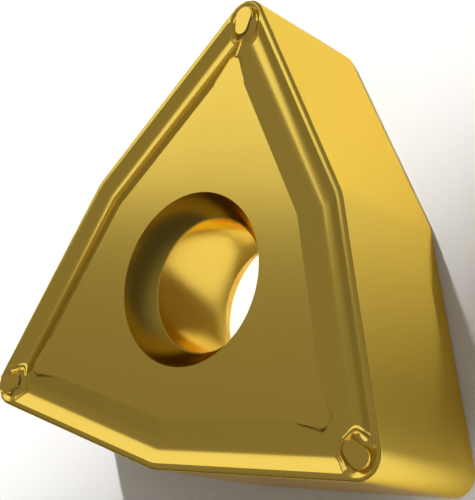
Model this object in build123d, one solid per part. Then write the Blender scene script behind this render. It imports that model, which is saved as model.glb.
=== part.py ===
from build123d import *
import math
import os

# Double-sided trigon cutting insert, pressed and sintered in one piece.
# Millimetres and degrees. The bore axis is Z, the mid-plane is z = 0 and one nose points to +Y.

# Outline
inscribed_circle = 12.70      # the circle that all six flanks touch
corner_angle = 75.0           # between the two flanks that meet at a nose
nose_radius = 0.80
bend_radius = 1.75            # where two flanks meet between the noses
noses = 3

# Heights
rim_thickness = 5.56          # from one cutting rim to the other
seat_rise = 0.10              # how far each flat seat stands above its rim

# Cutting rim and chip groove, measured inwards from the edge
hone_width = 0.05
land_width = 0.22
groove_depth = 0.15           # below the rim
groove_entry_angle = 20.0     # slope of the groove's outer side
groove_bottom_radius = 0.90
seat_inset = 1.675            # from the edge to the flat seat

# Pointed tips of the seat, one towards each nose
tip_length = 0.85             # from where it leaves the straight creases to its blunt end
tip_root_half_width = 0.57
tip_half_width = 0.15         # at the blunt end
tip_wall_angle = 45.0         # off the upright

# Flat-topped island on each nose, and the moat around it, measured back from the nose's end
island_front_radius = 0.34
island_front_inset = 0.63     # to the centre of the front round
island_back_radius = 0.27
island_back_inset = 1.03
island_wall_angle = 20.0      # off the upright
moat_front_radius = 0.61
moat_front_inset = 0.69
moat_back_radius = 0.22
moat_back_inset = 1.34
moat_back_half_width = 0.34   # from the middle to the centre of a back corner's round
moat_depth = 0.20             # below the rim
moat_wall_angle = 35.0        # off the upright

# Countersunk through bore
bore_diameter = 4.67
bore_lip = 0.07               # chamfer where the bore meets the recess
recess_mouth_diameter = 5.99
recess_depth = 1.00
recess_hollow = 0.05          # how far the recess wall bows outwards

# Slight relief along the under edge of one flank of each corner
relief_height = 1.02          # up from the under rim, at the bend
relief_angle = 6.3            # off the flank
relief_slope = 3.0            # of its upper edge, falling towards the nose

# Worked out from the sizes above
flank_distance = inscribed_circle / 2
rim_height = rim_thickness / 2
seat_height = rim_height + seat_rise
nose_half_turn = 90 - corner_angle / 2
bend_half_turn = 180 / noses - nose_half_turn
nose_azimuth = 90
bend_azimuth = nose_azimuth + 180 / noses
overcut = 1.0                 # how far a cutting shape runs out of the body
rooting = 0.05                # how far an added shape runs into the body
beyond = 4 * inscribed_circle


def polar(reach, azimuth):
    return Vector(reach * math.cos(math.radians(azimuth)), reach * math.sin(math.radians(azimuth)))


def nose_corner(inset, azimuth=nose_azimuth):
    return polar((flank_distance - inset) / math.cos(math.radians(nose_half_turn)), azimuth)


def bend_corner(inset, azimuth=bend_azimuth):
    return polar((flank_distance - inset) / math.cos(math.radians(bend_half_turn)), azimuth)


def at_each_nose(shape):
    return [Rot(0, 0, turn * 360 / noses) * shape for turn in range(noses)]


def both_sides(shapes):
    return shapes + [mirror(shape, about=Plane.XY) for shape in shapes]


def nose_end():
    """How far the rounded end of a nose lies from the bore axis."""
    round_centre = nose_corner(nose_radius).length
    return round_centre + nose_radius


def corners(inset):
    """The corners of the six-sided outline, a distance in from the edge, starting at a nose."""
    found = []
    for turn in range(noses):
        found.append(nose_corner(inset, nose_azimuth + turn * 360 / noses))
        found.append(bend_corner(inset, bend_azimuth + turn * 360 / noses))
    return found


def rounded_outline():
    return make_face(FilletPolyline(*corners(0), radius=[nose_radius, bend_radius] * noses, close=True))


def rim_block():
    """The plain block between the two cutting rims, with its rims honed."""
    block = extrude(rounded_outline(), rim_height, both=True)
    flat_ends = block.faces().filter_by(Plane.XY)
    return chamfer(flat_ends.edges(), hone_width)


def seat_block():
    """The raised middle, before the grooves cut its edge back to the flat seats."""
    middle_of_groove = (land_width + seat_inset) / 2
    return extrude(make_face(Polyline(*corners(middle_of_groove), close=True)), seat_height, both=True)


def groove_section():
    """Section of the space over a groove: X runs inwards from the edge and Y is height."""
    entry = math.radians(groove_entry_angle)
    bottom = rim_height - groove_depth
    slope_drop = groove_depth - groove_bottom_radius * (1 - math.cos(entry))
    middle = land_width + slope_drop / math.tan(entry) + groove_bottom_radius * math.sin(entry)
    centre = Vector(middle, bottom + groove_bottom_radius)
    to_seat = Vector(seat_inset, seat_height) - centre
    leave = math.atan2(to_seat.Y, to_seat.X) + math.asin(groove_bottom_radius / to_seat.length)
    arc_start = centre + groove_bottom_radius * Vector(-math.sin(entry), -math.cos(entry))
    arc_end = centre + groove_bottom_radius * Vector(math.sin(leave), -math.cos(leave))
    outer_side = Line((land_width, rim_height), arc_start)
    round_bottom = ThreePointArc(arc_start, (middle, bottom), arc_end)
    inner_side = Line(arc_end, (seat_inset, seat_height))
    roof = Polyline(
        (seat_inset, seat_height),
        (seat_inset, seat_height + overcut),
        (land_width, seat_height + overcut),
        (land_width, rim_height),
    )
    return make_face([*outer_side.edges(), *round_bottom.edges(), *inner_side.edges(), *roof.edges()])


def groove():
    """The space over the groove from one nose, round the bend, to the next nose."""
    next_nose = nose_azimuth + 360 / noses
    path = FilletPolyline(nose_corner(0), bend_corner(0), nose_corner(0, next_nose), radius=bend_radius)
    flank_normal = nose_azimuth + nose_half_turn
    start = Plane(nose_corner(0), x_dir=polar(-1, flank_normal), z_dir=polar(1, flank_normal + 90))
    run = sweep(start * groove_section(), path=path)
    sector = make_face(Polyline(
        (0, 0),
        polar(beyond, nose_azimuth),
        polar(beyond, bend_azimuth),
        polar(beyond, next_nose),
        close=True,
    ))
    return run & extrude(sector, beyond)


def stretched_round(circles, height, growth=0):
    """The outline stretched round a few circles at a height, each an inset from the nose's end,
    a place across and a radius that grows."""
    rims = [
        Pos(across, nose_end() - inset, height) * Edge.make_circle(radius + growth)
        for inset, across, radius in circles
    ]
    return make_hull(rims)


def moat():
    """The space over the moat: sloping sides up to the rim, then straight up."""
    circles = [
        (moat_front_inset, 0, moat_front_radius),
        (moat_back_inset, moat_back_half_width, moat_back_radius),
        (moat_back_inset, -moat_back_half_width, moat_back_radius),
    ]
    narrowing = moat_depth * math.tan(math.radians(moat_wall_angle))
    floor = stretched_round(circles, rim_height - moat_depth, -narrowing)
    mouth = stretched_round(circles, rim_height)
    return loft([floor, mouth], ruled=True) + extrude(mouth, overcut, dir=(0, 0, 1))


def island():
    """The flat-topped island, widening down into the floor of its moat."""
    circles = [
        (island_front_inset, 0, island_front_radius),
        (island_back_inset, 0, island_back_radius),
    ]
    rooted_height = seat_rise + moat_depth + rooting
    widening = rooted_height * math.tan(math.radians(island_wall_angle))
    foot = stretched_round(circles, seat_height - rooted_height, widening)
    return loft([foot, stretched_round(circles, seat_height)], ruled=True)


def seat_tip():
    """The seat's pointed tip, widening down into the groove."""
    root = nose_corner(seat_inset).length - tip_root_half_width * math.tan(math.radians(nose_half_turn))
    outline = make_face(Polyline(
        (tip_root_half_width, root),
        (tip_half_width, root + tip_length),
        (-tip_half_width, root + tip_length),
        (-tip_root_half_width, root),
        close=True,
    ))
    rooted_height = seat_rise + groove_depth + rooting
    return extrude(Pos(0, 0, seat_height) * outline, rooted_height, dir=(0, 0, -1), taper=-tip_wall_angle)


def bore_and_recess():
    """Half of the through bore, with the hollowed recess that a screw head or lever sits in."""
    bore = bore_diameter / 2
    ledge = seat_height - recess_depth
    low = Vector(bore + bore_lip, ledge)
    high = Vector(recess_mouth_diameter / 2, seat_height)
    wall = high - low
    belly = (low + high) / 2 + Vector(wall.Y, -wall.X).normalized() * recess_hollow
    section = make_face([
        *Polyline(high, (high.X, seat_height + overcut), (0, seat_height + overcut), (0, 0), (bore, 0),
                  (bore, ledge - bore_lip), low).edges(),
        *ThreePointArc(low, belly, high).edges(),
    ])
    return revolve(Plane.XZ * section, Axis.Z)


def relief():
    """The space outside the sloping facet under one flank, next to a bend."""
    normal_azimuth = bend_azimuth - bend_half_turn
    outwards = polar(1, normal_azimuth)
    to_nose = polar(1, normal_azimuth - 90)
    down = Vector(0, 0, -1)
    slope, angle = math.radians(relief_slope), math.radians(relief_angle)
    upper_edge = to_nose * math.cos(slope) + down * math.sin(slope)
    inwards_down = down * math.cos(angle) - outwards * math.sin(angle)
    corner = bend_corner(0) + Vector(0, 0, relief_height - rim_height)
    facet = Plane(corner, x_dir=upper_edge, z_dir=upper_edge.cross(inwards_down))
    return facet * Box(beyond, beyond, overcut, align=(Align.CENTER, Align.CENTER, Align.MIN))


def insert_body():
    body = rim_block() + seat_block()
    body -= both_sides(at_each_nose(groove()))
    body += both_sides(at_each_nose(seat_tip()))
    body -= both_sides(at_each_nose(moat()))
    body += both_sides(at_each_nose(island()))
    body -= both_sides([bore_and_recess()])
    body -= at_each_nose(relief())
    return body


os.makedirs("parts", exist_ok=True)
export_step(insert_body(), "parts/insert_body.step")
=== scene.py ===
import math

import bmesh
import bpy
import numpy as np
from mathutils import Matrix, Quaternion, Vector
from mathutils.geometry import delaunay_2d_cdt


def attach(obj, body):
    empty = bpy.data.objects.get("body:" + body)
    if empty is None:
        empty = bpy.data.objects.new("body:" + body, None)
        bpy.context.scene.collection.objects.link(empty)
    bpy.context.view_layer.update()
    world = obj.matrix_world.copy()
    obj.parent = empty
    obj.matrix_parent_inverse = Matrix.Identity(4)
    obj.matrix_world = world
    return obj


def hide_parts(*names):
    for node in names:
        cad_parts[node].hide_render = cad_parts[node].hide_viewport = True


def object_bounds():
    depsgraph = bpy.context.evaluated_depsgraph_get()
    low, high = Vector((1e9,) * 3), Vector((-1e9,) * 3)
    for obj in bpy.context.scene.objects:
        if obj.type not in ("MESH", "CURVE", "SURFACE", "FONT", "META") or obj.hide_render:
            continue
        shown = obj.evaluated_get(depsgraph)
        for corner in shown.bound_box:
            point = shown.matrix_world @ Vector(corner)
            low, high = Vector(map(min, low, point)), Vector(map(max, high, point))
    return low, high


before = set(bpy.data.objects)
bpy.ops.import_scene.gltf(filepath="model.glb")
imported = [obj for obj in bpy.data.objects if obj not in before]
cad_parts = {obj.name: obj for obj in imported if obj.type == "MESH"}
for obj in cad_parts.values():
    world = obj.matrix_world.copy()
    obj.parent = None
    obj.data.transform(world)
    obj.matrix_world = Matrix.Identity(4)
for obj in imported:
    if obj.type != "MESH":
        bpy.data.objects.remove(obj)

# Double-sided trigon cutting insert, pressed and sintered in one piece. Sizes are in millimetres and
# degrees where nothing else is said, and wall angles are off the upright. The bore axis is Z, the
# mid-plane is z = 0 and one nose points to +Y.

CAD_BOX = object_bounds()         # in metres
MM = 0.001

# Outline
INSCRIBED_CIRCLE = 12.70
CORNER_ANGLE = 75.0
NOSE_RADIUS = 0.80
BEND_RADIUS = 1.75
NOSES = 3

# Heights
RIM_THICKNESS = 5.56
SEAT_RISE = 0.10

# Cutting rim and chip groove
HONE_WIDTH = 0.11             # brushed in from the edge, over half of the land
HONE_DROP = 0.06
HONE_POWER = 1.5              # of its section: 1 is a round and 2 a straight bevel
LAND_WIDTH = 0.22
GROOVE_DEPTH = 0.15
GROOVE_ENTRY_ANGLE = 20.0
GROOVE_BOTTOM_RADIUS = 0.90
SEAT_INSET = 1.675

# Pointed tips of the seat, one towards each nose
TIP_LENGTH = 0.80             # from where it leaves the straight creases to its blunt end
TIP_ROOT_HALF_WIDTH = 0.57
TIP_HALF_WIDTH = 0.25         # at the blunt end
TIP_CORNER_RADIUS = 0.13
TIP_WALL_ANGLE = 45.0

# Island on each nose, and the moat around it. Insets run back from the nose's end
ISLAND_FRONT_RADIUS = 0.34
ISLAND_FRONT_INSET = 0.63
ISLAND_BACK_RADIUS = 0.27
ISLAND_BACK_INSET = 1.03
ISLAND_WALL_ANGLE = 20.0
APRON_FRONT_INSET = 0.78      # gentler foot round the island's sides and back
APRON_DROP = 0.05             # below the island's top
APRON_WALL_ANGLE = 50.0
MOAT_FRONT_RADIUS = 0.66
MOAT_FRONT_INSET = 0.74
MOAT_BACK_RADIUS = 0.22
MOAT_BACK_INSET = 1.27
MOAT_BACK_HALF_WIDTH = 0.31   # from the middle to the centre of a back corner's round
MOAT_WALL_ANGLE = 70.0
BEAD_HEIGHT = 0.024           # raised rim round the moat
BEAD_WIDTH = 0.05

# Countersunk through bore
BORE_DIAMETER = 4.67
BORE_LIP = 0.045              # width of the bevel where the bore meets the recess
BORE_LIP_DROP = 0.03
RECESS_MOUTH_DIAMETER = 5.99
RECESS_DEPTH = 1.00
RECESS_HOLLOW = 0.05          # how far the recess's wall bows outwards

# Slight relief along the under edge of one flank of each corner
RELIEF_HEIGHT = 1.02          # up from the under rim, at the bend
RELIEF_ANGLE = 6.3            # off the flank
RELIEF_SLOPE = 3.0            # of its upper edge, falling towards the nose

# How far the pressed surfaces blend into each other: the first four in height, the next two in plan
CREASE_BLEND = 0.006
TIP_ROOT_BLEND = 0.025
ISLAND_EDGE_BLEND = 0.02
ISLAND_FOOT_BLEND = 0.008
TIP_FLARE = 0.25              # where the tip's sides run into the straight creases
MITRE_BLEND = 0.12            # across the nose's axis, where the grooves from two flanks meet
TIP_FADE = 1.5                # how many flares out from the tip its root's blend ends
LEAST_SHARE = 0.01            # of that blend, left all along the groove

# How finely the surfaces are divided
FINE_STEP = 0.034             # along the lines near a nose
LEVEL_STEP = 0.03             # between the lines of the groove
NOSE_STEPS = 26
BEND_STEPS = 6
HONE_STEPS = 8
RECESS_STEPS = 10
RECESS_TURN_STEP = 3.0
RING_TURN_STEP = 2.0
WAY_STEP = 1.0                # between the directions in which an outline's reach is found
FINE_REACH = 4.6              # along a flank from the inscribed circle's touch to the nose's features
HOLDING = 0.02                # strip beside a rounded edge that keeps its neighbour flat
# Rings of vertices round the island and the moat, as distances outwards from their outlines
ISLAND_RINGS = [-0.03, -0.012, -0.004, 0.004, 0.016, 0.03, 0.045, 0.06, 0.07, 0.08, 0.095]
MOAT_RINGS = [-0.10, -0.07, -0.045, -0.03, -0.015, 0.0, 0.015, 0.03, 0.05, 0.075, 0.10, 0.13, 0.16]
TIP_STEP = 0.022
TIP_BAND = 0.10               # to both sides of the tip's edge
TIP_SPAN = 3 * TIP_ROOT_HALF_WIDTH
PLACE_DIGITS = 5
PLAN_WELD = 1e-6
WELD = 1e-7                   # in metres

# Coating and floor
COATING_LIGHT = (0.91, 0.66, 0.12, 1)
COATING_DEEP = (0.89, 0.64, 0.11, 1)
COATING_EDGE_TINT = (1.0, 0.82, 0.45, 1)
COATING_ROUGHNESS = 0.2
CLOUD_SCALE = 260.0           # per metre, as is the grain's
CLOUD_DETAIL = 3.0
CLOUD_ROUGHENS = 0.05         # the span of roughness that it brings
GRAIN_SCALE = 9000.0
GRAIN_DETAIL = 2.0
GRAIN_ROUGHENS = 0.04
GRAIN_STRENGTH = 0.02
GRAIN_HEIGHT = 0.00001        # in metres
NOISE_MIDDLE = 0.5
FLOOR_COLOUR = (0.90, 0.90, 0.90, 1)
FLOOR_ROUGHNESS = 0.9
FLOOR_SPECULAR = 0.1
GLOW_COLOUR = (1, 1, 1, 1)
GLOW_NEAR = 0.03
GLOW_FAR = 0.80
GLOW_START = 0.06             # in metres from the bore axis, as is the next
GLOW_FULL = 0.15

# Studio, with the floor's and the lamps' distances and widths in metres
CAMERA_PLACE = (28.50, -4.45, 32.46)
CAMERA_AIM = (1.90, 1.09, 2.88)
CAMERA_ROLL = -69.75
CAMERA_LENS = 89.0
CAMERA_SENSOR = 36.0
CAMERA_CLIP = 1.0
FLOOR_REACH = 2.0
LAMP_DISTANCE = 0.6
BEAM_DISTANCE = 0.11
BEAM_REACH = 0.16
BORE_BEAM_DISTANCE = 0.03
BORE_BEAM_WIDTH = 0.009
BORE_BEAM_SPREAD = 5.0
WORLD_COLOUR = (1, 0.92, 0.86, 1)
WORLD_RISE = (-0.22, 0.20, 1.0)
WORLD_START = 0.1             # how far that way it starts to grow brighter
WORLD_FULL = 0.7
WORLD_LOW = 0.05
WORLD_HIGH = 0.25

# Worked out from the sizes above, with angles in radians
FLANK_DISTANCE = INSCRIBED_CIRCLE / 2
RIM_HEIGHT = RIM_THICKNESS / 2
SEAT_HEIGHT = RIM_HEIGHT + SEAT_RISE
NOSE_HALF_TURN = math.radians(90 - CORNER_ANGLE / 2)
BEND_HALF_TURN = math.pi / NOSES - NOSE_HALF_TURN
FLANK_AZIMUTH = math.pi / 2 - NOSE_HALF_TURN
BEND_AZIMUTH = FLANK_AZIMUTH - BEND_HALF_TURN
NOSE_CENTRE = (FLANK_DISTANCE - NOSE_RADIUS) / math.cos(NOSE_HALF_TURN)
NOSE_END = NOSE_CENTRE + NOSE_RADIUS
BEND_START = (FLANK_DISTANCE - BEND_RADIUS) * math.tan(BEND_HALF_TURN)
RECESS_MOUTH = (RECESS_MOUTH_DIAMETER / 2, SEAT_HEIGHT)
LIP_OUTER_RIM = (BORE_DIAMETER / 2 + BORE_LIP, SEAT_HEIGHT - RECESS_DEPTH)
LIP_INNER_RIM = (BORE_DIAMETER / 2, SEAT_HEIGHT - RECESS_DEPTH - BORE_LIP_DROP)
WAYS = np.radians(np.arange(0, 360, WAY_STEP))
FLOOR_HEIGHT = CAD_BOX[0][2]

# Sockets of a Mix node that mixes colours, and the kind of triangulation that only fills a border
MIX_SHARE = 0
MIX_FIRST = 6
MIX_SECOND = 7
MIX_COLOUR = 2
FILL_INSIDE = 1


def heading(azimuth):
    return np.array([math.cos(azimuth), math.sin(azimuth)])


BEND_CENTRE = (FLANK_DISTANCE - BEND_RADIUS) / math.cos(BEND_HALF_TURN) * heading(BEND_AZIMUTH)
FLANK_NORMAL = heading(FLANK_AZIMUTH)
TO_BEND = heading(FLANK_AZIMUTH - math.pi / 2)


# Shape of the top, as heights over the plan ------------------------------------------------------


def flank_inset(x, y):
    """How far points lie in from the nearest flank, with the flanks taken on past the nose's round."""
    inset = FLANK_DISTANCE - higher(x, -x, MITRE_BLEND) * FLANK_NORMAL[0] - y * FLANK_NORMAL[1]
    from_bend_x = np.abs(x) - BEND_CENTRE[0]
    from_bend_y = y - BEND_CENTRE[1]
    past_flank = from_bend_x * TO_BEND[0] + from_bend_y * TO_BEND[1] > 0
    outwards = from_bend_x * FLANK_NORMAL[0] + from_bend_y * FLANK_NORMAL[1] > 0
    return np.where(past_flank & outwards, BEND_RADIUS - np.hypot(from_bend_x, from_bend_y), inset)


def edge_inset(x, y):
    """How far points lie in from the edge, round the nose as well."""
    from_nose_y = y - NOSE_CENTRE
    in_nose = np.abs(x) * TO_BEND[0] + from_nose_y * TO_BEND[1] < 0
    round_inset = NOSE_RADIUS - np.hypot(x, from_nose_y)
    return np.where(in_nose, round_inset, flank_inset(x, y))


def outside(x, y, circles):
    """How far points lie outside the outline stretched round a few circles, below 0 inside it."""
    return past_each_way(x, y, circles).max(axis=0)


def nearest_way(x, y, circles):
    """The direction from each point to the nearest place on that outline, from inside it."""
    nearest = past_each_way(x, y, circles).argmax(axis=0)
    return np.cos(WAYS[nearest]), np.sin(WAYS[nearest])


def past_each_way(x, y, circles):
    """How far points lie past the outline's reach in each direction of a full round."""
    way_x, way_y = np.cos(WAYS)[:, None], np.sin(WAYS)[:, None]
    reaches = [centre_x * way_x + centre_y * way_y + radius for centre_x, centre_y, radius in circles]
    return x * way_x + y * way_y - np.max(reaches, axis=0)


def lower(a, b, blend):
    """The lower of two heights, rounded off where they are within a blend of each other."""
    nearness = np.maximum(blend - np.abs(a - b), 0) / blend
    return np.minimum(a, b) - nearness ** 2 * blend / 4


def higher(a, b, blend):
    return -lower(-a, -b, blend)


def tip_circles():
    """The rounds at the corners of the seat's tip, each a place across, one along and a radius."""
    crease_corner = (FLANK_DISTANCE - SEAT_INSET) / math.cos(NOSE_HALF_TURN)
    root = crease_corner - TIP_ROOT_HALF_WIDTH * math.tan(NOSE_HALF_TURN)
    corner_x = TIP_HALF_WIDTH - TIP_CORNER_RADIUS
    corner_y = root + TIP_LENGTH - TIP_CORNER_RADIUS
    root_x = TIP_ROOT_HALF_WIDTH - TIP_CORNER_RADIUS
    return [
        (corner_x, corner_y, TIP_CORNER_RADIUS),
        (-corner_x, corner_y, TIP_CORNER_RADIUS),
        (root_x, root, TIP_CORNER_RADIUS),
        (-root_x, root, TIP_CORNER_RADIUS),
    ]


TIP = tip_circles()
ISLAND = [
    (0, NOSE_END - ISLAND_FRONT_INSET, ISLAND_FRONT_RADIUS),
    (0, NOSE_END - ISLAND_BACK_INSET, ISLAND_BACK_RADIUS),
]
APRON = [
    (0, NOSE_END - APRON_FRONT_INSET, ISLAND_FRONT_RADIUS),
    (0, NOSE_END - ISLAND_BACK_INSET, ISLAND_BACK_RADIUS),
]
MOAT = [
    (0, NOSE_END - MOAT_FRONT_INSET, MOAT_FRONT_RADIUS),
    (MOAT_BACK_HALF_WIDTH, NOSE_END - MOAT_BACK_INSET, MOAT_BACK_RADIUS),
    (-MOAT_BACK_HALF_WIDTH, NOSE_END - MOAT_BACK_INSET, MOAT_BACK_RADIUS),
]


def trough_height(inset):
    """The groove's outer side, round bottom and inner side, both sides running on upwards."""
    entry = math.radians(GROOVE_ENTRY_ANGLE)
    slope_drop = GROOVE_DEPTH - GROOVE_BOTTOM_RADIUS * (1 - math.cos(entry))
    middle = LAND_WIDTH + slope_drop / math.tan(entry) + GROOVE_BOTTOM_RADIUS * math.sin(entry)
    centre_height = RIM_HEIGHT - GROOVE_DEPTH + GROOVE_BOTTOM_RADIUS
    across, up = SEAT_INSET - middle, SEAT_HEIGHT - centre_height
    leave = math.atan2(up, across) + math.asin(GROOVE_BOTTOM_RADIUS / math.hypot(across, up))
    outer_side = RIM_HEIGHT - (inset - LAND_WIDTH) * math.tan(entry)
    inner_side = SEAT_HEIGHT - (SEAT_INSET - inset) * math.tan(leave)
    from_middle = np.clip(inset - middle, -GROOVE_BOTTOM_RADIUS, GROOVE_BOTTOM_RADIUS)
    bottom = centre_height - np.sqrt(GROOVE_BOTTOM_RADIUS ** 2 - from_middle ** 2)
    arc_start = middle - GROOVE_BOTTOM_RADIUS * math.sin(entry)
    arc_end = middle + GROOVE_BOTTOM_RADIUS * math.sin(leave)
    return np.where(inset < arc_start, outer_side, np.where(inset > arc_end, inner_side, bottom))


def beyond_seat(x, y):
    """How far points lie outside the seat, its pointed tip taken in with flared sides."""
    return lower(SEAT_INSET - flank_inset(x, y), outside(x, y, TIP), TIP_FLARE)


def pressed_height(x, y):
    """Height of the land, groove, seat and tip, with the bead round the moat but not the moat."""
    inset = flank_inset(x, y)
    bead = BEAD_HEIGHT * np.exp(-(outside(x, y, MOAT) / BEAD_WIDTH) ** 2)
    tip_side = SEAT_HEIGHT - beyond_seat(x, y) / math.tan(math.radians(TIP_WALL_ANGLE))
    tip_share = np.clip(TIP_FADE - outside(x, y, TIP) / TIP_FLARE, LEAST_SHARE, 1)
    ground = higher(trough_height(inset) + bead, tip_side, TIP_ROOT_BLEND * tip_share)
    ceiling = np.where(inset < SEAT_INSET / 2, RIM_HEIGHT, SEAT_HEIGHT)
    return lower(ground, ceiling, CREASE_BLEND)


def moat_height(x, y):
    """Height of the moat's side, which falls inwards from the pressed surface at its mouth."""
    inside = np.minimum(outside(x, y, MOAT), 0)
    way_x, way_y = nearest_way(x, y, MOAT)
    mouth = pressed_height(x - inside * way_x, y - inside * way_y)
    return mouth + inside / math.tan(math.radians(MOAT_WALL_ANGLE))


def top_height(x, y):
    """Height of the upper face over the plan, within a third of a turn round the nose."""
    ground = pressed_height(x, y)
    ground = np.where(outside(x, y, MOAT) < 0, moat_height(x, y), ground)
    island_side = SEAT_HEIGHT - outside(x, y, ISLAND) / math.tan(math.radians(ISLAND_WALL_ANGLE))
    island = lower(island_side, SEAT_HEIGHT, ISLAND_EDGE_BLEND)
    apron_top = SEAT_HEIGHT - APRON_DROP
    apron = apron_top - outside(x, y, APRON) / math.tan(math.radians(APRON_WALL_ANGLE))
    ground = higher(ground, lower(apron, apron_top, ISLAND_FOOT_BLEND), ISLAND_FOOT_BLEND)
    return higher(ground, island, ISLAND_FOOT_BLEND)


# Layout of the mesh ------------------------------------------------------------------------------


def even_places(start, end, step):
    return np.linspace(start, end, max(2, round(abs(end - start) / step) + 1))


def flank_line(inset, places):
    """Points beside a flank, at places along it from the inscribed circle's touch to the bend."""
    return [(FLANK_DISTANCE - inset) * FLANK_NORMAL + place * TO_BEND for place in places]


def flank_stations():
    """Places along a flank from its nose's rounding to the start of the bend."""
    nose_start = -(FLANK_DISTANCE - NOSE_RADIUS) * math.tan(NOSE_HALF_TURN)
    near_nose = even_places(nose_start, -FINE_REACH, FINE_STEP)
    return np.concatenate([near_nose, [BEND_START - HOLDING, BEND_START]])


def bend_round(inset):
    turns = np.linspace(FLANK_AZIMUTH, BEND_AZIMUTH, BEND_STEPS + 1)[1:]
    return [BEND_CENTRE + (BEND_RADIUS - inset) * heading(turn) for turn in turns]


def edge_line(inset):
    """Half of the outline, moved in by an inset, from the nose's axis to the bend's."""
    turns = np.linspace(math.pi / 2, FLANK_AZIMUTH, NOSE_STEPS + 1)[:-1]
    nose = [np.array([0, NOSE_CENTRE]) + (NOSE_RADIUS - inset) * heading(turn) for turn in turns]
    return nose + flank_line(inset, flank_stations()) + bend_round(inset)


def level_near_nose(inset):
    """A line beside a flank, from the nose's axis to where the nose's features end."""
    axis = -(FLANK_DISTANCE - inset) * math.tan(NOSE_HALF_TURN)
    return flank_line(inset, even_places(axis, -FINE_REACH, FINE_STEP))


def level_past_nose(inset):
    """The same line taken on from there to the bend's axis."""
    return flank_line(inset, (-FINE_REACH, BEND_START - HOLDING, BEND_START)) + bend_round(inset)


def stretched_ring(circles, growth):
    """Half of the outline stretched round grown circles, evenly divided, from front to back."""
    corners = []
    for azimuth in np.radians(np.arange(90, -91, -RING_TURN_STEP)):
        ahead = heading(azimuth)
        furthest = max(circles, key=lambda c: c[0] * ahead[0] + c[1] * ahead[1] + c[2])
        centre_x, centre_y, radius = furthest
        corners.append((centre_x + radius * ahead[0], centre_y + radius * ahead[1], *ahead))
    corners = np.array([(0, corners[0][1], 0, 1), *corners, (0, corners[-1][1], 0, -1)])
    corners[:, 0] = np.maximum(corners[:, 0], 0)
    lengths = np.concatenate([[0], np.cumsum(np.hypot(*np.diff(corners[:, :2], axis=0).T))])
    places = even_places(0, lengths[-1], FINE_STEP)
    x, y, ahead_x, ahead_y = (np.interp(places, lengths, column) for column in corners.T)
    return np.column_stack([np.maximum(x + growth * ahead_x, 0), y + growth * ahead_y])


def crease_levels():
    """Insets of the lines along the groove, close together beside the land's and the seat's crease."""
    beside = HOLDING * np.array([-2.5, -1, -0.5, 0, 0.5, 1, 2])
    land, seat = LAND_WIDTH + beside, SEAT_INSET + beside
    between = even_places(land[-1], seat[0], LEVEL_STEP)
    return np.concatenate([[HONE_WIDTH + HOLDING], land, between[1:-1], seat])


def by_tip_edge(x, y, margin=0):
    """Whether points lie close to the flared edge of the seat's tip."""
    near_tip = outside(x, y, TIP) < TIP_FADE * TIP_FLARE + margin
    return near_tip & (np.abs(beyond_seat(x, y)) < TIP_BAND + margin)


def tip_edge_places():
    """A grid of places over one half of that edge, from inside the seat to the moat's rings."""
    across = np.arange(0, TIP_SPAN, TIP_STEP)
    along = np.arange(SEAT_INSET, NOSE_END - MOAT_BACK_INSET, TIP_STEP)
    x, y = (grid.ravel() for grid in np.meshgrid(across, along))
    clear = by_tip_edge(x, y) & (outside(x, y, MOAT) > MOAT_RINGS[-1] + TIP_STEP)
    return np.column_stack([x, y])[clear]


class Plan:
    """Places and lines in plan, with each place held once, and all of it mirrored across the nose."""

    def __init__(self):
        self.places = []
        self.lines = []
        self.known = {}

    def place(self, x, y):
        key = (round(float(x), PLACE_DIGITS), round(float(y), PLACE_DIGITS))
        if key not in self.known:
            self.known[key] = len(self.places)
            self.places.append(Vector((float(x), float(y))))
        return self.known[key]

    def scatter(self, places):
        for x, y in places:
            self.place(x, y)
            self.place(-x, y)

    def line(self, places):
        for side in (1, -1):
            indices = [self.place(side * x, y) for x, y in places]
            self.lines += zip(indices[:-1], indices[1:])

    def triangles(self, border):
        loop = [self.place(x, y) for x, y in border]
        found = delaunay_2d_cdt(self.places, self.lines, [loop], FILL_INSIDE, PLAN_WELD)
        return np.array(found[0]), found[2]


def mirrored(half):
    """A half line from the nose's axis outwards, made whole from one end to the other."""
    return [(-x, y) for x, y in reversed(half[1:])] + [(x, y) for x, y in half]


def upper_face():
    """The top of one third of a turn, as places, heights and triangles."""
    plan = Plan()
    for inset in crease_levels():
        near = np.array(level_near_nose(inset))
        clear = edge_inset(*near.T) > HONE_WIDTH + FINE_STEP / 2
        clear &= outside(*near.T, MOAT) > MOAT_RINGS[-1] + FINE_STEP / 2
        clear &= ~by_tip_edge(*near.T, TIP_STEP / 2)
        clear[-1] = True
        plan.scatter(near[clear])
        plan.line(level_past_nose(inset))
    for growth in ISLAND_RINGS:
        plan.scatter(stretched_ring(ISLAND, growth))
    for growth in MOAT_RINGS:
        ring = stretched_ring(MOAT, growth)
        clear = outside(*ring.T, ISLAND) > ISLAND_RINGS[-1] + FINE_STEP / 2
        clear &= edge_inset(*ring.T) > HONE_WIDTH + FINE_STEP / 3
        plan.scatter(ring[clear])
    plan.scatter(tip_edge_places())
    bend_line = [bend_round(inset)[-1] for inset in crease_levels()]
    half = edge_line(HONE_WIDTH) + bend_line + recess_round(RECESS_MOUTH[0])
    border = half + [(-x, y) for x, y in reversed(half[1:-1])]
    places, triangles = plan.triangles(border)
    return np.column_stack([places, top_height(*places.T)]), triangles


def recess_round(radius):
    """Part of a circle round the bore, from the bend's axis to the nose's."""
    turns = np.linspace(BEND_AZIMUTH, math.pi / 2, round(180 / NOSES / RECESS_TURN_STEP) + 1)
    return [radius * heading(turn) for turn in turns]


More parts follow.
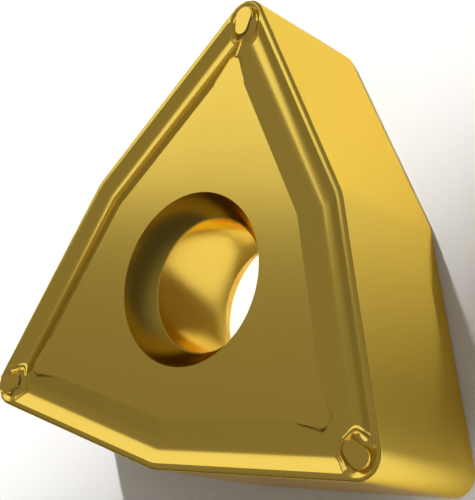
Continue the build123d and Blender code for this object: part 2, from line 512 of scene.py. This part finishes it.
def edge_rings():
    """The honed edge and the flank under it, as rings from the top down to the mid-plane."""
    rim = np.array(mirrored(edge_line(HONE_WIDTH)))
    rim_heights = top_height(*rim.T)
    rings = []
    for turn in np.linspace(math.pi / 2, 0, HONE_STEPS + 1):
        inset = HONE_WIDTH * (1 - math.cos(turn) ** HONE_POWER)
        drop = HONE_DROP * (1 - math.sin(turn) ** HONE_POWER)
        rings.append(np.column_stack([mirrored(edge_line(inset)), rim_heights - drop]))
    outline = np.array(mirrored(edge_line(0)))
    rings.append(np.column_stack([outline, rim_heights - HONE_DROP - HOLDING]))
    rings.append(np.column_stack([outline, np.zeros(len(outline))]))
    return rings


def recess_rings():
    """The hollowed recess, its lip and the bore, as rings from the top down to the mid-plane."""
    low = Vector(LIP_OUTER_RIM)
    high = Vector(RECESS_MOUTH)
    wall = high - low
    outwards = Vector((wall.y, -wall.x)).normalized()
    section = []
    for share in np.linspace(1, 0, RECESS_STEPS + 1):
        section.append(low.lerp(high, share) + outwards * RECESS_HOLLOW * 4 * share * (1 - share))
    section += [Vector(LIP_INNER_RIM), Vector((LIP_INNER_RIM[0], 0))]
    rings = []
    for radius, height in section:
        half = recess_round(radius)
        whole = half + [(-x, y) for x, y in reversed(half[:-1])]
        rings.append(np.column_stack([whole, np.full(len(whole), height)]))
    return rings


def strips(rings, first_index):
    """Quads between rings of equal length, with their vertices numbered from a first index."""
    count = len(rings[0])
    faces = []
    for row in range(len(rings) - 1):
        for column in range(count - 1):
            corner = first_index + row * count + column
            faces.append((corner, corner + 1, corner + 1 + count, corner + count))
    return np.concatenate(rings), faces


def sector_mesh():
    """One nose's third of a turn, from the mid-plane up, open where its copies join it."""
    vertices, faces = upper_face()
    faces = list(faces)
    for rings in (edge_rings(), recess_rings()):
        more_vertices, more_faces = strips(rings, len(vertices))
        vertices = np.concatenate([vertices, more_vertices])
        faces += more_faces
    mesh = bpy.data.meshes.new("nose_sector")
    mesh.from_pydata(vertices * MM, [], faces)
    mesh.validate()
    return mesh


# Geometry Nodes that set the sectors round the bore and turn them over ---------------------------


def repeat_tree():
    """A sector with its underside, set round the bore once for each nose, welded and coated."""
    tree = bpy.data.node_groups.new("sectors_round_the_bore", "GeometryNodeTree")
    sockets = tree.interface
    sockets.new_socket("Sector", in_out="INPUT", socket_type="NodeSocketGeometry")
    sockets.new_socket("Noses", in_out="INPUT", socket_type="NodeSocketInt")
    sockets.new_socket("Weld Distance", in_out="INPUT", socket_type="NodeSocketFloat")
    sockets.new_socket("Coating", in_out="INPUT", socket_type="NodeSocketMaterial")
    sockets.new_socket("Insert", in_out="OUTPUT", socket_type="NodeSocketGeometry")

    def node(kind, settings=None, **links):
        made = tree.nodes.new(kind)
        for name, value in (settings or {}).items():
            setattr(made, name, value)
        for name, value in links.items():
            socket = made.inputs[name.replace("_", " ")]
            if isinstance(value, bpy.types.NodeSocket):
                tree.links.new(value, socket)
            else:
                socket.default_value = value
        return made

    given = node("NodeGroupInput")
    turned_over = node("GeometryNodeTransform", Geometry=given.outputs["Sector"])
    turned_over.inputs["Rotation"].default_value = (0, math.pi, 0)
    both = node("GeometryNodeJoinGeometry")
    tree.links.new(given.outputs["Sector"], both.inputs[0])
    tree.links.new(turned_over.outputs[0], both.inputs[0])
    points = node("GeometryNodePoints", Count=given.outputs["Noses"])
    step = node("ShaderNodeMath", {"operation": "DIVIDE"})
    step.inputs[0].default_value = 2 * math.pi
    tree.links.new(given.outputs["Noses"], step.inputs[1])
    turn = node("ShaderNodeMath", {"operation": "MULTIPLY"})
    tree.links.new(node("GeometryNodeInputIndex").outputs[0], turn.inputs[0])
    tree.links.new(step.outputs[0], turn.inputs[1])
    about_bore = node("ShaderNodeCombineXYZ", Z=turn.outputs[0])
    rotation = node("FunctionNodeEulerToRotation", Euler=about_bore.outputs[0])
    round_bore = node(
        "GeometryNodeInstanceOnPoints",
        Points=points.outputs[0], Instance=both.outputs[0], Rotation=rotation.outputs[0],
    )
    real = node("GeometryNodeRealizeInstances", Geometry=round_bore.outputs[0])
    welded = node(
        "GeometryNodeMergeByDistance",
        Geometry=real.outputs[0], Distance=given.outputs["Weld Distance"],
    )
    coated = node(
        "GeometryNodeSetMaterial",
        Geometry=welded.outputs[0], Material=given.outputs["Coating"],
    )
    result = node("NodeGroupOutput")
    tree.links.new(coated.outputs[0], result.inputs[0])
    return tree


def insert_blank(coating):
    """All the sectors welded into one closed body, as a plain mesh."""
    carrier = bpy.data.objects.new("sector_carrier", sector_mesh())
    bpy.context.scene.collection.objects.link(carrier)
    tree = repeat_tree()
    modifier = carrier.modifiers.new("sectors", "NODES")
    modifier.node_group = tree
    inputs = {
        item.name: item.identifier
        for item in tree.interface.items_tree if item.in_out == "INPUT"
    }
    modifier[inputs["Noses"]] = NOSES
    modifier[inputs["Weld Distance"]] = WELD
    modifier[inputs["Coating"]] = coating
    evaluated = carrier.evaluated_get(bpy.context.evaluated_depsgraph_get())
    mesh = bpy.data.meshes.new_from_object(evaluated)
    carrier.modifiers.remove(modifier)
    bpy.data.objects.remove(carrier)
    return mesh


def grind_relief(body, turn):
    """Cut the slight relief under one flank, and return the sharp edges round it."""
    facing = math.pi / 2 + NOSE_HALF_TURN
    outwards = Vector((*heading(facing), 0))
    to_nose = Vector((*heading(facing - math.pi / 2), 0))
    down = Vector((0, 0, -1))
    slope, angle = math.radians(RELIEF_SLOPE), math.radians(RELIEF_ANGLE)
    upper_edge = to_nose * math.cos(slope) + down * math.sin(slope)
    inwards_down = down * math.cos(angle) - outwards * math.sin(angle)
    bend = FLANK_DISTANCE / math.cos(BEND_HALF_TURN) * heading(facing + BEND_HALF_TURN)
    corner = Vector((*bend, RELIEF_HEIGHT - RIM_HEIGHT)) * MM
    round_bore = Matrix.Rotation(turn, 4, "Z")
    cut = bmesh.ops.bisect_plane(
        body,
        geom=body.verts[:] + body.edges[:] + body.faces[:],
        dist=WELD,
        plane_co=round_bore @ corner,
        plane_no=round_bore @ upper_edge.cross(inwards_down),
        clear_outer=True,
    )
    rim = [part for part in cut["geom_cut"] if isinstance(part, bmesh.types.BMEdge)]
    bmesh.ops.triangle_fill(body, edges=rim, use_beauty=True)
    return rim


def make_insert(coating):
    """The finished insert: the blank with its reliefs ground, its edges marked and one coating."""
    mesh = insert_blank(coating)
    mesh.materials.clear()
    mesh.materials.append(coating)
    body = bmesh.new()
    body.from_mesh(mesh)
    sharp = []
    for corner in range(NOSES):
        sharp += grind_relief(body, corner * 2 * math.pi / NOSES)
    bmesh.ops.recalc_face_normals(body, faces=body.faces)
    for face in body.faces:
        face.smooth = True
        face.material_index = 0
    for edge in body.edges:
        edge.smooth = not is_sharp(edge)
    for edge in sharp:
        edge.smooth = False
    body.to_mesh(mesh)
    body.free()
    piece = bpy.data.objects.new("cutting_insert", mesh)
    bpy.context.scene.collection.objects.link(piece)
    return piece


def is_sharp(edge):
    """Whether an edge lies on the recess's mouth or on either rim of its lip."""
    ends = [(vertex.co.xy.length / MM, abs(vertex.co.z) / MM) for vertex in edge.verts]
    for corner in (RECESS_MOUTH, LIP_OUTER_RIM, LIP_INNER_RIM):
        if all(math.dist(end, corner) < HOLDING / 4 for end in ends):
            return True
    return False


# Finishes ----------------------------------------------------------------------------------------


class Shade:
    """A socket that takes part in sums, whose operators add Math nodes."""

    def __init__(self, tree, socket):
        self.tree = tree
        self.socket = socket

    def maths(self, operation, *values):
        return self.node("ShaderNodeMath", {"operation": operation}, values)

    def node(self, kind, settings=None, values=(), output=0):
        """One of a new node's outputs, with values or other sockets put into its inputs."""
        made = self.tree.nodes.new(kind)
        for name, value in (settings or {}).items():
            setattr(made, name, value)
        pairs = values.items() if isinstance(values, dict) else enumerate(values)
        for name, value in pairs:
            if isinstance(value, Shade):
                self.tree.links.new(value.socket, made.inputs[name])
            else:
                made.inputs[name].default_value = value
        return Shade(self.tree, made.outputs[output] if made.outputs else None)

    def __add__(self, other):
        return self.maths("ADD", self, other)

    def __sub__(self, other):
        return self.maths("SUBTRACT", self, other)

    def __rsub__(self, other):
        return self.maths("SUBTRACT", other, self)

    def __mul__(self, other):
        return self.maths("MULTIPLY", self, other)

    __radd__ = __add__
    __rmul__ = __mul__


def new_material(name):
    material = bpy.data.materials.new(name)
    material.use_nodes = True
    material.node_tree.nodes.clear()
    return material, Shade(material.node_tree, None)


def coated_carbide():
    """Gold-coloured hard coating, satin from the pressed grain under it."""
    material, start = new_material("gold_coating")
    place = start.node("ShaderNodeTexCoord", output="Object")
    cloud = start.node("ShaderNodeTexNoise", values={
        "Vector": place, "Scale": CLOUD_SCALE, "Detail": CLOUD_DETAIL,
    })
    grain = start.node("ShaderNodeTexNoise", values={
        "Vector": place, "Scale": GRAIN_SCALE, "Detail": GRAIN_DETAIL,
    })
    colour = start.node("ShaderNodeMix", {"data_type": "RGBA"}, {
        MIX_SHARE: cloud, MIX_FIRST: COATING_LIGHT, MIX_SECOND: COATING_DEEP,
    }, output=MIX_COLOUR)
    roughness = COATING_ROUGHNESS + (cloud - NOISE_MIDDLE) * CLOUD_ROUGHENS
    roughness += (grain - NOISE_MIDDLE) * GRAIN_ROUGHENS
    normal = start.node("ShaderNodeBump", values={
        "Strength": GRAIN_STRENGTH, "Distance": GRAIN_HEIGHT, "Height": grain,
    })
    shader = start.node("ShaderNodeBsdfPrincipled", values={
        "Base Color": colour, "Metallic": 1.0, "Roughness": roughness,
        "Specular Tint": COATING_EDGE_TINT, "Normal": normal,
    })
    start.node("ShaderNodeOutputMaterial", values={"Surface": shader})
    return material


def pale_floor():
    """Matt white board, which away from the object also glows where a lens, metal or glass sees it."""
    material, start = new_material("pale_floor")
    board = start.node("ShaderNodeBsdfPrincipled", values={
        "Base Color": FLOOR_COLOUR, "Roughness": FLOOR_ROUGHNESS, "Specular IOR Level": FLOOR_SPECULAR,
    })
    seen = start.node("ShaderNodeLightPath", output="Is Camera Ray")
    seen += start.node("ShaderNodeLightPath", output="Is Glossy Ray")
    seen += start.node("ShaderNodeLightPath", output="Is Transmission Ray")
    place = start.node("ShaderNodeTexCoord", output="Object")
    reach = start.node("ShaderNodeVectorMath", {"operation": "LENGTH"}, [place], output="Value")
    level = start.node(
        "ShaderNodeMapRange", {"interpolation_type": "SMOOTHSTEP"},
        [reach, GLOW_START, GLOW_FULL, GLOW_NEAR, GLOW_FAR],
    )
    glow = start.node("ShaderNodeEmission", values={"Color": GLOW_COLOUR, "Strength": seen * level})
    both = start.node("ShaderNodeAddShader", values=[board, glow])
    start.node("ShaderNodeOutputMaterial", values={"Surface": both})
    return material


# Studio ------------------------------------------------------------------------------------------


def make_floor():
    corners = [(-1, -1), (1, -1), (1, 1), (-1, 1)]
    vertices = [(x * FLOOR_REACH, y * FLOOR_REACH, FLOOR_HEIGHT) for x, y in corners]
    mesh = bpy.data.meshes.new("floor")
    mesh.from_pydata(vertices, [], [(0, 1, 2, 3)])
    mesh.materials.append(pale_floor())
    floor = bpy.data.objects.new("floor", mesh)
    bpy.context.scene.collection.objects.link(floor)
    return floor


def toward(azimuth, elevation):
    """A direction from the object, with azimuth from +X towards +Y."""
    flat = math.cos(math.radians(elevation)) * heading(math.radians(azimuth))
    return Vector((*flat, math.sin(math.radians(elevation))))


def place_lamp(lamp, azimuth, elevation, distance, roll=0):
    """A lamp at a distance from the middle of the object, facing it."""
    way = toward(azimuth, elevation)
    carrier = bpy.data.objects.new(lamp.name, lamp)
    carrier.location = way * distance
    facing = way.to_track_quat("Z", "Y") @ Quaternion((0, 0, 1), math.radians(roll))
    carrier.rotation_euler = facing.to_euler()
    bpy.context.scene.collection.objects.link(carrier)
    return carrier


def keep_out_of_sight(carrier):
    """Let a lamp light the floor and the object, but not show in the metal or the camera."""
    carrier.visible_glossy = False
    carrier.visible_camera = False


def softbox(name, azimuth, elevation, roll, width, height, radiance):
    """A lamp seen in the metal, with its size given as the angles that it spans."""
    lamp = bpy.data.lights.new(name, "AREA")
    lamp.shape = "RECTANGLE"
    lamp.size = 2 * LAMP_DISTANCE * math.tan(math.radians(width / 2))
    lamp.size_y = 2 * LAMP_DISTANCE * math.tan(math.radians(height / 2))
    lamp.energy = radiance * math.pi * lamp.size * lamp.size_y
    place_lamp(lamp, azimuth, elevation, LAMP_DISTANCE, roll)


def floor_beam(name, azimuth, elevation, edge_azimuth, edge_reach, spread, level):
    """A beam that lights the floor up to a straight soft edge, where 1 shows the floor's colour."""
    way = toward(azimuth, elevation)
    into_light = toward(edge_azimuth, 0)
    along_edge = Vector((-into_light.y, into_light.x, 0))
    across_lamp = (along_edge - way * along_edge.dot(way)).normalized()
    up_lamp = way.cross(across_lamp)
    lamp = bpy.data.lights.new(name, "AREA")
    lamp.shape = "RECTANGLE"
    lamp.size = BEAM_REACH
    lamp.size_y = BEAM_REACH * abs(into_light.dot(up_lamp))
    lamp.spread = math.radians(spread)
    lamp.energy = level * math.pi * lamp.size * lamp.size_y / math.sin(math.radians(elevation))
    carrier = bpy.data.objects.new(name, lamp)
    middle = into_light * (edge_reach * MM + BEAM_REACH / 2) + Vector((0, 0, FLOOR_HEIGHT))
    facing = Matrix((across_lamp, up_lamp, way)).transposed()
    carrier.rotation_euler = facing.to_euler()
    carrier.location = middle + way * BEAM_DISTANCE
    keep_out_of_sight(carrier)
    bpy.context.scene.collection.objects.link(carrier)


def bore_lamp(name, azimuth, elevation, level):
    """A narrow beam that shines down the bore and lights the floor under it to a level."""
    lamp = bpy.data.lights.new(name, "AREA")
    lamp.shape = "DISK"
    lamp.size = BORE_BEAM_WIDTH
    lamp.spread = math.radians(BORE_BEAM_SPREAD)
    area = math.pi * BORE_BEAM_WIDTH ** 2 / 4
    lamp.energy = level * math.pi * area / math.sin(math.radians(elevation))
    keep_out_of_sight(place_lamp(lamp, azimuth, elevation, BORE_BEAM_DISTANCE))


def make_world():
    """Dim all round, brighter overhead and on the softbox's side."""
    world = bpy.data.worlds.new("studio")
    bpy.context.scene.world = world
    world.use_nodes = True
    world.node_tree.nodes.clear()
    start = Shade(world.node_tree, None)
    way = start.node("ShaderNodeTexCoord", output="Generated")
    rise = start.node(
        "ShaderNodeVectorMath", {"operation": "DOT_PRODUCT"}, [way, WORLD_RISE], output="Value",
    )
    level = start.node(
        "ShaderNodeMapRange", {"interpolation_type": "SMOOTHSTEP"},
        [rise, WORLD_START, WORLD_FULL, WORLD_LOW, WORLD_HIGH],
    )
    light = start.node("ShaderNodeBackground", values={"Color": WORLD_COLOUR, "Strength": level})
    start.node("ShaderNodeOutputWorld", values={"Surface": light})


def make_camera():
    camera = bpy.data.cameras.new("camera")
    camera.lens = CAMERA_LENS
    camera.sensor_width = CAMERA_SENSOR
    camera.clip_start = CAMERA_CLIP * MM
    carrier = bpy.data.objects.new("camera", camera)
    place, aim = Vector(CAMERA_PLACE) * MM, Vector(CAMERA_AIM) * MM
    upright = (aim - place).to_track_quat("-Z", "Y")
    roll = Quaternion((0, 0, 1), math.radians(CAMERA_ROLL))
    carrier.rotation_mode = "QUATERNION"
    carrier.rotation_quaternion = upright @ roll
    carrier.location = place
    bpy.context.scene.collection.objects.link(carrier)
    bpy.context.scene.camera = carrier


bpy.context.scene.view_settings.view_transform = "Standard"
make_camera()
make_world()
softbox(
    "side_softbox", azimuth=148.4, elevation=35.7, roll=31, width=31.2, height=29, radiance=0.80,
)
floor_beam(
    "key_beam", azimuth=122, elevation=38, edge_azimuth=133, edge_reach=-2.0, spread=3.7, level=0.90,
)
floor_beam(
    "far_beam", azimuth=-47, elevation=40, edge_azimuth=-47, edge_reach=10.3, spread=1.5, level=0.85,
)
bore_lamp("bore_lamp", azimuth=90, elevation=68, level=0.85)
bore_lamp("bore_lamp_low", azimuth=-10, elevation=50, level=1.0)
floor = make_floor()

insert = make_insert(coated_carbide())
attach(insert, "root")
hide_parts("insert_body")
